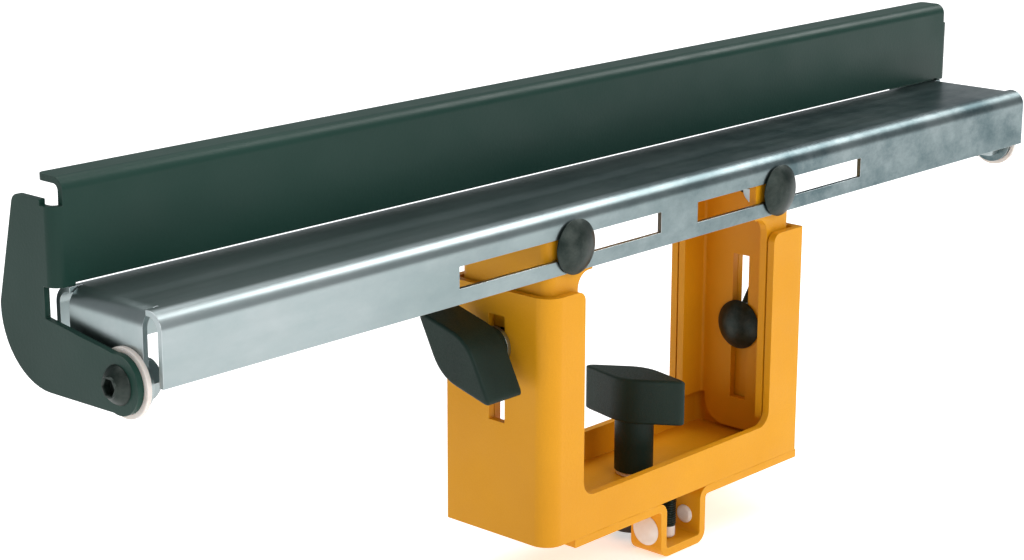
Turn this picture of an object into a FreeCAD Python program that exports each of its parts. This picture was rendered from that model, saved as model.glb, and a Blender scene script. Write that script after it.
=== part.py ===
import FreeCAD
import Part
import os
import Sketcher

# A wide material support with a flip-up stop, for clamping on the beam of a
# mitre saw stand.  A bent steel box stands on the beam, a bracket slides up
# and down in it, a long zinc-plated tray is bolted to the bracket, and a
# black stop swings over the tray's front edge on a screw at each end.
#
# X runs along the tray, Y from its front flange to its rear edge, Z up.
# The origin is the centre of the box's underside.  Millimetres and degrees.

SIZES = [
    # the box that stands on the beam
    ("base_width", 125.0, "outside of the box along X"),
    ("base_depth", 42.0, "outside of the box along Y"),
    ("base_height", 77.0, "underside to the tops of the legs"),
    ("base_sheet", 2.5, "sheet of the box"),
    ("base_corner", 6.0, "outside radius of the box's two upright bends"),
    ("seam_corner", 1.0, "rounding of its two welded upright seams"),
    ("strip_height", 12.5, "low strip that joins the legs, front and rear"),
    ("leg_face", 16.0, "width of a leg seen from the front"),
    ("window_corner", 5.0, "radius in the window's lower corners"),
    ("lock_slot_width", 6.5, "slots for the height lock bolts"),
    ("base_slot_low", 36.0, "lower end of the slot in the box"),
    ("base_slot_high", 69.0, "upper end of the slot in the box"),
    # the hook under the box
    ("hook_sheet", 2.8, "strip the hook is bent from"),
    ("hook_width", 12.5, "width of the strip along Y"),
    ("hook_left", 50.0, "strip's reach to the left of the centre"),
    ("hook_inside", 16.8, "clear width of the hook's loop"),
    ("hook_drop", 18.6, "underside of the box to the loop's underside"),
    ("hook_offset", 2.5, "loop and clamp screw, right of the centre"),
    ("hook_bend", 4.0, "outside radius of the strip's bends"),
    ("button_head", 5.0, "radius of a glide button's head"),
    ("button_tail", 3.0, "radius of a glide button's snapped end"),
    ("button_stem", 2.5, "radius of the hole a glide button fills"),
    ("button_drop", 10.2, "underside of the box to a button's centre"),
    ("guide_radius", 2.5, "guide screw, M5"),
    ("guide_tip_long", 4.0, "nylon tip of the guide screw"),
    # the clamp screw
    ("stud_radius", 4.0, "clamp screw, M8"),
    ("bush_radius", 8.0, "welded threaded bush under the floor"),
    ("bush_height", 5.0, "height of that bush"),
    ("foot_radius", 8.0, "pressure foot"),
    ("foot_height", 5.0, "height of the pressure foot"),
    ("foot_drop", 15.5, "underside of the box to the foot's underside"),
    ("stem_radius", 6.3, "stem of a T knob"),
    ("clamp_stem_long", 17.4, "stem of the clamp knob"),
    ("lock_stem_long", 2.2, "stem of a lock knob"),
    ("wing_long", 35.6, "T knob, point to point"),
    ("wing_wide", 14.4, "T knob, across the middle"),
    ("wing_high", 14.8, "T knob, height of the wing"),
    ("insert_radius", 4.5, "brass insert of a lock knob"),
    ("clamp_turned", -79.0, "clamp knob, wing turned from X"),
    ("left_lock_turned", 39.0, "left lock knob, wing turned down from Y"),
    ("right_lock_turned", 90.0, "right lock knob, wing upright"),
    # the bracket that slides in the box
    ("slide_gap", 0.3, "play between bracket and box walls"),
    ("carriage_sheet", 2.5, "sheet of the bracket"),
    ("carriage_bend", 3.7, "outside radius of the bracket's upright bends"),
    ("web_bend", 3.5, "outside radius round the bracket's top"),
    ("carriage_low", 4.0, "height of the bracket's lower end"),
    ("lip_low", 14.0, "lower end of the bracket's lips"),
    ("ear_gap", 80.0, "between the two ears the tray is bolted to"),
    ("ear_low", 82.0, "underside of the ears"),
    ("carriage_slot_low", 14.6, "lower end of the slot in the bracket"),
    ("carriage_slot_high", 64.6, "upper end of the slot in the bracket"),
    # bolts, all M6 with a domed head and a square neck
    ("bolt_radius", 3.0, "shank"),
    ("bolt_head", 8.3, "head radius"),
    ("bolt_dome", 3.9, "head height"),
    ("bolt_neck", 6.1, "across the square neck"),
    ("bolt_washer", 6.0, "washer radius"),
    ("washer_thick", 1.6, "washer thickness"),
    ("nut_flats", 10.0, "across the flats of a nut"),
    ("nut_height", 5.0, "nut height"),
    ("tray_bolt_apart", 100.0, "between the two tray bolts"),
    ("left_bolt_height", 59.6, "left lock bolt above the underside"),
    ("right_bolt_height", 40.6, "right lock bolt above the underside"),
    # the tray
    ("tray_length", 406.0, "tray along X"),
    ("tray_depth", 42.0, "tray along Y"),
    ("tray_top", 102.6, "top face above the underside of the box"),
    ("tray_sheet", 1.6, "sheet of the tray"),
    ("tray_bend", 5.0, "outside radius of the tray's bends"),
    ("tray_flange", 19.4, "height of the four flanges"),
    ("tray_front", 19.5, "front face, in front of the box's centre"),
    ("tray_shift", -1.0, "tray's centre along X"),
    ("corner_gap", 4.8, "open corner between front and end flanges"),
    ("slot_inner", 8.9, "inner end of a tray slot from the middle"),
    ("slot_outer", 97.4, "outer end of a tray slot from the middle"),
    ("slot_height", 6.4, "height of a tray slot"),
    ("slot_down", 11.7, "tray top to the slot's centre line"),
    # the flip-up stop
    ("pivot_back", 12.5, "pivot, behind the tray's front face"),
    ("pivot_down", 19.8, "pivot, below the tray's top"),
    ("lug_radius", 8.0, "lug round the pivot"),
    ("spacer_radius", 9.3, "nylon washer between arm and tray"),
    ("spacer_thick", 1.5, "thickness of that washer"),
    ("pivot_head", 5.25, "radius of the pivot screw's button head"),
    ("pivot_dome", 3.3, "height of that head"),
    ("stop_sheet", 1.9, "sheet of the stop"),
    ("stop_front", 36.2, "stop's face, behind the tray's front face"),
    ("stop_low", 0.8, "stop's lower edge above the tray"),
    ("stop_high", 28.3, "stop's top above the tray"),
    ("stop_foot", 3.0, "width of the feet that rest on the tray"),
    ("stop_lip", 10.4, "depth of the lip along the stop's top"),
    ("stop_bend", 3.5, "outside radius of the stop's bends"),
    ("arm_front", 28.6, "front edge of an arm's upright, behind the pivot"),
    ("arm_top", 42.5, "top of an arm, above the pivot"),
    ("arm_top_back", 40.0, "rear corner of an arm's top, behind the pivot"),
    ("heel_back", 47.6, "rearmost point of an arm, behind the pivot"),
    ("heel_low", 8.6, "lowest point of an arm's heel, below the pivot"),
    ("heel_radius", 19.5, "rounding of the heel"),
    ("arm_inside", 11.5, "inner edge of an arm, above the pivot"),
    ("arm_corner", 3.0, "rounding of an arm's rear top corner"),
    ("lip_corner", 2.0, "rounding of the lip's free corners"),
    # play left between pieces that move on each other
    ("fit_gap", 0.05, "play of a turning or sliding fit"),
]

doc = FreeCAD.newDocument("material_support")
sheet = doc.addObject("Spreadsheet::Sheet", "sizes")
for row, (name, value, note) in enumerate(SIZES, start=1):
    sheet.set("A%d" % row, note)
    sheet.set("B%d" % row, repr(value))
    sheet.setAlias("B%d" % row, name)
doc.recompute()


class Size:
    """A number together with the spreadsheet formula that gives it."""

    def __init__(self, value, formula):
        self.value = value
        self.formula = formula

    def _join(self, other, sign, result):
        return Size(result, "(%s %s %s)" % (self.formula, sign, size(other).formula))

    def __add__(self, other):
        return self._join(other, "+", self.value + size(other).value)

    def __radd__(self, other):
        return size(other) + self

    def __sub__(self, other):
        return self._join(other, "-", self.value - size(other).value)

    def __rsub__(self, other):
        return size(other) - self

    def __mul__(self, other):
        return self._join(other, "*", self.value * size(other).value)

    def __rmul__(self, other):
        return size(other) * self

    def __truediv__(self, other):
        return self._join(other, "/", self.value / size(other).value)

    def __neg__(self):
        return size(0) - self


def size(item):
    """A Size from a Size, a number or a name in the sheet."""
    if isinstance(item, Size):
        return item
    if isinstance(item, str):
        return Size(float(sheet.get(item)), "sizes." + item)
    return Size(float(item), repr(float(item)))


# ------------------------------------------------------------ drawing helpers

# origin plane, sign of its normal along the third axis, that axis
PLANES = {"XY": ("XY_Plane", 1, "Z"), "XZ": ("XZ_Plane", -1, "Y"), "YZ": ("YZ_Plane", 1, "X")}


def new_body(label):
    body = doc.addObject("PartDesign::Body", label)
    body.Label = label
    return body


def new_sketch(body, plane, height):
    """A sketch on one of the body's origin planes, moved along its normal."""
    wanted, sign, _ = PLANES[plane]
    sketch = body.newObject("Sketcher::SketchObject", body.Name + "_sketch")
    origin = [f for f in body.Origin.OriginFeatures if f.Role == wanted][0]
    sketch.AttachmentSupport = [(origin, "")]
    sketch.MapMode = "FlatFace"
    sketch.setExpression("AttachmentOffset.Base.z", (sign * size(height)).formula)
    return sketch


def bind(sketch, index, name, item):
    sketch.renameConstraint(index, name)
    sketch.setExpression("Constraints." + name, size(item).formula)


def pin_point(sketch, geometry, end, point, name):
    """Hold one end of a line or arc at a point given by two Sizes."""
    for kind, item, letter in (("DistanceX", point[0], "x"), ("DistanceY", point[1], "y")):
        value = size(item).value
        index = sketch.addConstraint(Sketcher.Constraint(kind, -1, 1, geometry, end, value))
        bind(sketch, index, letter + name, item)


def draw_polygon(sketch, points):
    """A closed outline of straight lines through the points."""
    places = [FreeCAD.Vector(size(a).value, size(b).value, 0) for a, b in points]
    first = sketch.GeometryCount
    last = first + len(places) - 1
    for n, place in enumerate(places):
        sketch.addGeometry(Part.LineSegment(place, places[(n + 1) % len(places)]))
    for n, point in enumerate(points):
        line = first + n
        after = line + 1 if line < last else first
        sketch.addConstraint(Sketcher.Constraint("Coincident", line, 2, after, 1))
        pin_point(sketch, line, 1, point, "_%d" % line)


def draw_rectangle(sketch, left, right, low, high):
    draw_polygon(sketch, [(left, low), (right, low), (right, high), (left, high)])


def draw_circle(sketch, across, up, radius):
    centre = FreeCAD.Vector(size(across).value, size(up).value, 0)
    normal = FreeCAD.Vector(0, 0, 1)
    circle = sketch.addGeometry(Part.Circle(centre, normal, size(radius).value))
    pin_point(sketch, circle, 3, (across, up), "_%d" % circle)
    index = sketch.addConstraint(Sketcher.Constraint("Radius", circle, size(radius).value))
    bind(sketch, index, "r_%d" % circle, radius)


def draw_dome(sketch, radius, base, top):
    """Half outline of a dome that stands on its axis, the sketch's upright."""
    a, h = size(radius).value, size(top).value - size(base).value
    low = size(base).value
    ball = (a * a + h * h) / (2.0 * h)
    centre = FreeCAD.Vector(0, low + h - ball, 0)
    edge = FreeCAD.Vector(a, low, 0)
    crown = FreeCAD.Vector(0, low + h, 0)
    foot = FreeCAD.Vector(0, low, 0)
    middle = centre + (edge + crown - centre - centre).normalize() * ball
    arc = sketch.addGeometry(Part.Arc(edge, middle, crown))
    axis = sketch.addGeometry(Part.LineSegment(crown, foot))
    floor = sketch.addGeometry(Part.LineSegment(foot, edge))
    sketch.addConstraint(Sketcher.Constraint("Coincident", arc, 2, axis, 1))
    sketch.addConstraint(Sketcher.Constraint("Coincident", axis, 2, floor, 1))
    sketch.addConstraint(Sketcher.Constraint("Coincident", floor, 2, arc, 1))
    sketch.addConstraint(Sketcher.Constraint("PointOnObject", arc, 3, -2))
    pin_point(sketch, axis, 1, (0, top), "_crown")
    pin_point(sketch, axis, 2, (0, base), "_foot")
    pin_point(sketch, arc, 1, (radius, base), "_edge")


def extrude(body, plane, low, high, draw, cut=False):
    """Pad, or cut, whatever draw() puts in a sketch, from low to high."""
    before = body.Shape.Volume if body.Tip else 0.0
    sign = PLANES[plane][1]
    start = low if (sign > 0) != cut else high
    sketch = new_sketch(body, plane, start)
    draw(sketch)
    kind = "Pocket" if cut else "Pad"
    feature = body.newObject("PartDesign::" + kind, body.Name + "_" + kind.lower())
    feature.Profile = sketch
    feature.setExpression("Length", (size(high) - size(low)).formula)
    sketch.Visibility = False
    doc.recompute()
    if not cut and body.Shape.Volume < before:
        raise RuntimeError("%s lost its earlier solid at %s" % (body.Label, feature.Name))
    return feature


def cut_out(body, plane, low, high, draw):
    """A cut that must take material away, or the build stops."""
    before = body.Shape.Volume
    feature = extrude(body, plane, low, high, draw, cut=True)
    if body.Shape.Volume > before - 0.01:
        raise RuntimeError("nothing was cut from " + body.Label)
    return feature


def spin(body, draw):
    """Turn a half outline in the XZ plane about Z."""
    sketch = new_sketch(body, "XZ", 0)
    draw(sketch)
    feature = body.newObject("PartDesign::Revolution", body.Name + "_turned")
    feature.Profile = sketch
    feature.ReferenceAxis = (sketch, ["V_Axis"])
    sketch.Visibility = False
    doc.recompute()
    return feature


def edges_along(shape, axis, places):
    """Names of straight edges along an axis that pass through given places.

    Each place holds the two other coordinates, in X, Y, Z order.
    """
    across = [n for n in range(3) if n != "XYZ".index(axis)]
    found = []
    for number, edge in enumerate(shape.Edges, start=1):
        ends = [vertex.Point for vertex in edge.Vertexes]
        if len(ends) != 2 or edge.Curve.TypeId != "Part::GeomLine":
            continue
        for place in places:
            gaps = [abs(end[n] - size(p).value) for end in ends for n, p in zip(across, place)]
            if max(gaps) < 0.02:
                found.append("Edge%d" % number)
    return sorted(set(found))


def add_fillet(body, names, radius):
    base = body.Tip
    fillet = body.newObject("PartDesign::Fillet", body.Name + "_round")
    fillet.Base = (base, names)
    fillet.setExpression("Radius", size(radius).formula)
    doc.recompute()
    return fillet


def round_edges(body, axis, places, radius):
    """Fillet the edges along an axis at the given places."""
    names = edges_along(body.Tip.Shape, axis, places)
    if len(names) < len(places):
        raise RuntimeError("an edge to round is missing on " + body.Label)
    return add_fillet(body, names, radius)


def round_level(body, height, radius):
    """Fillet every edge that lies at one height."""
    level = size(height).value
    names = ["Edge%d" % number for number, edge in enumerate(body.Tip.Shape.Edges, start=1)
             if abs(edge.BoundBox.ZMin - level) < 0.01 and abs(edge.BoundBox.ZMax - level) < 0.01]
    return add_fillet(body, names, radius)


def rectangle(left, right, low, high):
    return lambda sketch: draw_rectangle(sketch, left, right, low, high)


def polygon(points):
    return lambda sketch: draw_polygon(sketch, points)


def disc(across, up, radius):
    return lambda sketch: draw_circle(sketch, across, up, radius)


def ring(across, up, outer, inner):
    def draw(sketch):
        draw_circle(sketch, across, up, outer)
        draw_circle(sketch, across, up, inner)
    return draw


def dome(radius, base, top):
    return lambda sketch: draw_dome(sketch, radius, base, top)


def place(thing, where, turns=()):
    """Put a piece somewhere, after turns of (axis, angle) taken in order."""
    rotation = FreeCAD.Rotation()
    for axis, angle in turns:
        rotation = FreeCAD.Rotation(FreeCAD.Vector(*axis), angle).multiply(rotation)
    spot = FreeCAD.Vector(*[size(item).value for item in where])
    thing.Placement = FreeCAD.Placement(spot, rotation)
    for letter, item in zip("xyz", where):
        thing.setExpression("Placement.Base." + letter, size(item).formula)


def mirrored_pair(label, source, centre):
    """The source and its mirror image across an upright plane at X = centre."""
    source.Label = label + "_one"
    other = doc.addObject("Part::Mirroring", label + "_other")
    other.Source = source
    other.Normal = (1, 0, 0)
    other.setExpression("Base.x", size(centre).formula)
    pair = doc.addObject("Part::Compound", label)
    pair.Links = [source, other]
    pair.Label = label
    doc.recompute()
    return pair


# ------------------------------------------------------------------ the box

half_width = size("base_width") / 2
half_depth = size("base_depth") / 2
wall = size("base_sheet")
inner_x = half_width - wall
inner_y = half_depth - wall
window_half = half_width - size("leg_face")
hook_x = size("hook_offset")
hook_y = -half_depth + size("hook_width") / 2

base = new_body("base_frame")
extrude(base, "XY", 0, "base_height", rectangle(-half_width, half_width, -half_depth, half_depth))
round_edges(base, "Z", [(-half_width, -half_depth), (half_width, half_depth)], "base_corner")
round_edges(base, "Z", [(half_width, -half_depth), (-half_width, half_depth)], "seam_corner")
cut_out(base, "XY", wall, "base_height", rectangle(-inner_x, inner_x, -inner_y, inner_y))
round_edges(base, "Z", [(-inner_x, -inner_y), (inner_x, inner_y)], size("base_corner") - wall)
cut_out(base, "XZ", -half_depth - 1, half_depth + 1,
        rectangle(-window_half, window_half, "strip_height", size("base_height") + 1))
round_edges(base, "Y", [(-window_half, "strip_height"), (window_half, "strip_height")],
            "window_corner")
round_edges(base, "Y", [(-window_half, "base_height"), (window_half, "base_height")], 3)
cut_out(base, "YZ", -half_width - 1, half_width + 1,
        rectangle(-size("lock_slot_width") / 2, size("lock_slot_width") / 2,
                  "base_slot_low", "base_slot_high"))
cut_out(base, "XY", -1, wall + 1, disc(hook_x, 0, size("stud_radius") + 0.5))
cut_out(base, "XY", -1, wall + 1, disc(hook_x, hook_y, "guide_radius"))


# ------------------------------------------------- the hook and what it holds

strip = size("hook_sheet")
loop_in = size("hook_inside") / 2
loop_out = loop_in + strip
loop_low = -size("hook_drop")

hook = new_body("clamp_hook")
outline = [
    (-size("hook_left"), 0), (-size("hook_left"), -strip),
    (hook_x - loop_out, -strip), (hook_x - loop_out, loop_low),
    (hook_x + loop_out, loop_low), (hook_x + loop_out, -strip),
    (half_width, -strip), (half_width, 0),
    (hook_x + loop_in, 0), (hook_x + loop_in, loop_low + strip),
    (hook_x - loop_in, loop_low + strip), (hook_x - loop_in, 0),
]
extrude(hook, "XZ", -half_depth, -half_depth + size("hook_width"), polygon(outline))
round_edges(hook, "Y", [(hook_x - loop_out, loop_low), (hook_x + loop_out, loop_low),
                        (hook_x - loop_in, 0), (hook_x + loop_in, 0)], "hook_bend")
round_edges(hook, "Y", [(hook_x - loop_in, loop_low + strip), (hook_x + loop_in, loop_low + strip),
                        (hook_x - loop_out, -strip), (hook_x + loop_out, -strip)],
            size("hook_bend") - strip)
cut_out(hook, "YZ", hook_x - loop_out - 1, hook_x + loop_out + 1,
        disc(hook_y, -size("button_drop"), "button_stem"))

# a glide button is pushed through a side of the loop from outside
button = new_body("glide_button")
extrude(button, "XY", -0.8, strip + 0.8, disc(0, 0, size("button_stem") - 0.02))
spin(button, dome("button_head", strip, strip + 1.8))
extrude(button, "XY", -0.6, 0, disc(0, 0, "button_tail"))
place(button, (hook_x + loop_in, hook_y, -size("button_drop")), [((0, 1, 0), 90)])
buttons = mirrored_pair("glide_buttons", button, hook_x)

tip_top = loop_low + strip + size("guide_tip_long") + 0.2
guide = new_body("guide_screw")
extrude(guide, "XY", tip_top, wall + 3, disc(hook_x, hook_y, size("guide_radius") - 0.02))
extrude(guide, "XY", wall, wall + 3, disc(hook_x, hook_y, size("guide_radius") + 1.1))
cut_out(guide, "XY", wall + 1, wall + 4, disc(hook_x, hook_y, 1.6))
tip = new_body("guide_tip")
spin(tip, dome(size("guide_radius") - 0.3, 0, "guide_tip_long"))
place(tip, (hook_x, hook_y, tip_top), [((1, 0, 0), 180)])


# ------------------------------------------------------------ the clamp screw

bush = new_body("clamp_bush")
extrude(bush, "XY", -size("bush_height"), 0,
        ring(hook_x, 0, "bush_radius", size("stud_radius") + size("fit_gap")))

foot_low = -size("foot_drop")
foot_top = foot_low + size("foot_height")
foot = new_body("pressure_foot")
extrude(foot, "XY", foot_low, foot_top, disc(hook_x, 0, "foot_radius"))
round_level(foot, foot_low, 1.2)
cut_out(foot, "XY", foot_top - 3, foot_top + 1, disc(hook_x, 0, size("stud_radius") - 0.9))

ring_thick = size(1.3)
knob_low = wall + ring_thick + 0.1
stud = new_body("clamp_stud")
extrude(stud, "XY", foot_top + 0.05, knob_low + 12, disc(hook_x, 0, "stud_radius"))
extrude(stud, "XY", foot_top - 2.95, foot_top + 0.05, disc(hook_x, 0, size("stud_radius") - 0.95))


def t_knob(label, stem_long, bore, bore_deep):
    """A diamond-shaped wing on a round stem; Z = 0 is the stem's lower end."""
    knob = new_body(label)
    end = size("wing_long") / 2
    side = size("wing_wide") / 2
    low = size(stem_long)
    high = low + size("wing_high")
    extrude(knob, "XY", low, high, polygon([(-end, 0), (0, -side), (end, 0), (0, side)]))
    round_edges(knob, "Z", [(-end, 0), (end, 0)], 1.2)
    round_edges(knob, "Z", [(0, -side), (0, side)], 4)
    extrude(knob, "XY", 0, low + 2, disc(0, 0, "stem_radius"))
    round_level(knob, high, 1)
    cut_out(knob, "XY", -1, bore_deep, disc(0, 0, bore))
    return knob


clamp_knob = t_knob("clamp_knob", "clamp_stem_long", "stud_radius", 12)
place(clamp_knob, (hook_x, 0, knob_low), [((0, 0, 1), size("clamp_turned").value)])
clamp_ring = new_body("clamp_ring")
extrude(clamp_ring, "XY", wall + 0.1, knob_low,
        ring(hook_x, 0, size("stem_radius") - 0.5, size("stud_radius")))


# ------------------------------------------------- the bracket in the box

gap = size("slide_gap")
face = size("fit_gap")
tray_y = -size("tray_front")
skin = size("tray_sheet")
bracket_x = inner_x - gap
bracket_y = -(tray_y + skin + face)
bracket_top = size("tray_top") - skin - face
plate = size("carriage_sheet")
ear_half = size("ear_gap") / 2
bolt_z = size("tray_top") - size("slot_down")
bolt_x = size("tray_bolt_apart") / 2
neck = size("bolt_neck") / 2 + face

bracket = new_body("carriage_bracket")
extrude(bracket, "XY", "carriage_low", bracket_top,
        rectangle(-bracket_x, bracket_x, -bracket_y, bracket_y))
round_edges(bracket, "Z", [(x, y) for x in (-bracket_x, bracket_x)
                           for y in (-bracket_y, bracket_y)], "carriage_bend")
round_level(bracket, bracket_top, "web_bend")
cut_out(bracket, "XY", size("carriage_low") - 1, bracket_top - plate,
        rectangle(plate - bracket_x, bracket_x - plate, plate - bracket_y, bracket_y - plate))
round_edges(bracket, "Z", [(x, y) for x in (plate - bracket_x, bracket_x - plate)
                           for y in (plate - bracket_y, bracket_y - plate)],
            size("carriage_bend") - plate)
round_level(bracket, bracket_top - plate, size("web_bend") - plate)
cut_out(bracket, "XZ", -bracket_y - 1, bracket_y + 1,
        rectangle(-ear_half, ear_half, 0, bracket_top - plate))
cut_out(bracket, "XZ", -bracket_y - 1, bracket_y + 1,
        rectangle(-window_half, window_half, 0, "ear_low"))
round_edges(bracket, "Y", [(-window_half, "ear_low"), (window_half, "ear_low")], 5)
for side_y in (-1, 1):
    edge_y = side_y * (bracket_y - plate - 1.5)
    low, high = (edge_y, bracket_y + 1) if side_y > 0 else (-bracket_y - 1, edge_y)
    cut_out(bracket, "XZ", low, high,
            rectangle(-bracket_x - 1, bracket_x + 1, 0, "lip_low"))
corner_y = bracket_y - plate - 1.5
round_edges(bracket, "X", [(-corner_y, "carriage_low"), (corner_y, "carriage_low")], 8)
cut_out(bracket, "YZ", -bracket_x - 1, bracket_x + 1,
        rectangle(-size("lock_slot_width") / 2, size("lock_slot_width") / 2,
                  "carriage_slot_low", "carriage_slot_high"))
for bolt_side in (-bolt_x, bolt_x):
    cut_out(bracket, "XZ", -bracket_y - 1, plate + 1 - bracket_y,
            rectangle(bolt_side - neck, bolt_side + neck, bolt_z - neck, bolt_z + neck))


def carriage_bolt(label, neck_long, shank_long):
    """Domed head above Z = 0, square neck and shank below it."""
    bolt = new_body(label)
    half_neck = size("bolt_neck") / 2
    spin(bolt, dome("bolt_head", 0, "bolt_dome"))
    extrude(bolt, "XY", -size(neck_long), 0,
            rectangle(-half_neck, half_neck, -half_neck, half_neck))
    extrude(bolt, "XY", -size(shank_long), 0.5, disc(0, 0, "bolt_radius"))
    return bolt


def hexagon(across, up, flats):
    """Corner points of a hexagon with two flats facing up and down."""
    half = size(flats) / 2
    corner = half * 1.1547005
    return [(across + corner, up), (across + corner / 2, up + half),
            (across - corner / 2, up + half), (across - corner, up),
            (across - corner / 2, up - half), (across + corner / 2, up - half)]


tray_bolt = carriage_bolt("tray_bolt", skin + face + plate, 15)
place(tray_bolt, (bolt_x, tray_y - 0.05, bolt_z), [((1, 0, 0), 90)])
tray_bolts = mirrored_pair("tray_bolts", tray_bolt, 0)
behind = plate - bracket_y
tray_washer = new_body("tray_washer")
extrude(tray_washer, "XZ", behind, behind + size("washer_thick"),
        ring(bolt_x, bolt_z, "bolt_washer", size("bolt_radius") + 0.2))
tray_washers = mirrored_pair("tray_washers", tray_washer, 0)


def tray_nut_outline(sketch):
    draw_polygon(sketch, hexagon(bolt_x, bolt_z, "nut_flats"))
    draw_circle(sketch, bolt_x, bolt_z, "bolt_radius")


tray_nut = new_body("tray_nut")
nut_from = behind + size("washer_thick")
extrude(tray_nut, "XZ", nut_from, nut_from + size("nut_height"), tray_nut_outline)
tray_nuts = mirrored_pair("tray_nuts", tray_nut, 0)


# ------------------------------------------------------- the height locks

lock_parts = []
for word, way, height in (("left", -1, "left_bolt_height"), ("right", 1, "right_bolt_height")):
    turn = [((0, 1, 0), -90 * way)]
    bolt = carriage_bolt("lock_bolt_" + word, plate + gap + wall, 18)
    place(bolt, (way * (bracket_x - plate - 0.05), 0, height), turn)
    washer = new_body("lock_washer_" + word)
    extrude(washer, "XY", 0.05, size("washer_thick") + 0.05,
            ring(0, 0, "bolt_washer", size("bolt_radius") + 0.2))
    out = [((0, 1, 0), 90 * way)]
    place(washer, (way * half_width, 0, height), out)
    knob = t_knob("lock_knob_" + word, "lock_stem_long", "insert_radius", 12)
    knob_out = half_width + size("washer_thick") + 0.05
    wing_turn = [((0, 0, 1), 90 + way * size(word + "_lock_turned").value)]
    place(knob, (way * knob_out, 0, height), wing_turn + out)
    insert = new_body("lock_insert_" + word)
    extrude(insert, "XY", 0.2, 11.5, ring(0, 0, "insert_radius", size("bolt_radius") + face))
    place(insert, (way * knob_out, 0, height), out)
    lock_parts += [bolt, washer, knob, insert]


# ------------------------------------------------------------------ the tray

middle = size("tray_shift")
end_x = size("tray_length") / 2
bend = size("tray_bend")
top = size("tray_top")
flange_low = top - size("tray_flange")
rear_y = tray_y + size("tray_depth")
slot_low = bolt_z - size("slot_height") / 2
slot_high = bolt_z + size("slot_height") / 2
pivot_y = tray_y + size("pivot_back")
pivot_z = top - size("pivot_down")

tray = new_body("tray")
extrude(tray, "XY", top - skin, top,
        rectangle(middle - end_x + bend, middle + end_x - bend,
                  tray_y + bend + 0.5, rear_y - bend - 0.5))
for face_y, inward in ((tray_y, 1), (rear_y, -1)):
    inner_face = face_y + inward * skin
    bend_start = face_y + inward * (bend + 1)
    flange_section = [
        (face_y, flange_low), (inner_face, flange_low), (inner_face, top - skin),
        (bend_start, top - skin), (bend_start, top), (face_y, top),
    ]
    extrude(tray, "YZ", middle - end_x + 0.8, middle + end_x - 0.8, polygon(flange_section))
    round_edges(tray, "X", [(face_y, top)], bend)
    round_edges(tray, "X", [(inner_face, top - skin)], bend - skin)
corner_room = size("corner_gap") + skin
for way in (-1, 1):
    outside = middle + way * end_x
    inside = outside - way * skin
    bend_start = outside - way * (bend + 1)
    sheet_low, sheet_high = (outside, inside) if way < 0 else (inside, outside)
    end_section = [(bend_start, top - skin), (inside, top - skin), (inside, flange_low),
                   (outside, flange_low), (outside, top), (bend_start, top)]
    extrude(tray, "XZ", tray_y + corner_room, rear_y - corner_room, polygon(end_section))
    round_edges(tray, "Y", [(outside, top)], bend)
    round_edges(tray, "Y", [(inside, top - skin)], bend - skin)
    extrude(tray, "YZ", sheet_low, sheet_high, disc(pivot_y, pivot_z, "lug_radius"))
    cut_out(tray, "YZ", sheet_low - 0.5, sheet_high + 0.5,
            disc(pivot_y, pivot_z, size("bolt_radius") + 0.1))
for inner, outer in ((-size("slot_outer"), -size("slot_inner")), ("slot_inner", "slot_outer")):
    cut_out(tray, "XZ", tray_y - 1, tray_y + skin + 1,
            rectangle(middle + size(inner), middle + size(outer), slot_low, slot_high))


# ------------------------------------------------------------------ the stop

arm_t = size("stop_sheet")
arm_in = end_x + size("spacer_thick") + 0.1
arm_out = arm_in + arm_t
stop_y = tray_y + size("stop_front")
stop_z = top + size("stop_low")
stop_top = top + size("stop_high")
stop_bend = size("stop_bend")
lip_y = stop_y + size("stop_lip")
upright_y = pivot_y + size("arm_front")

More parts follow.
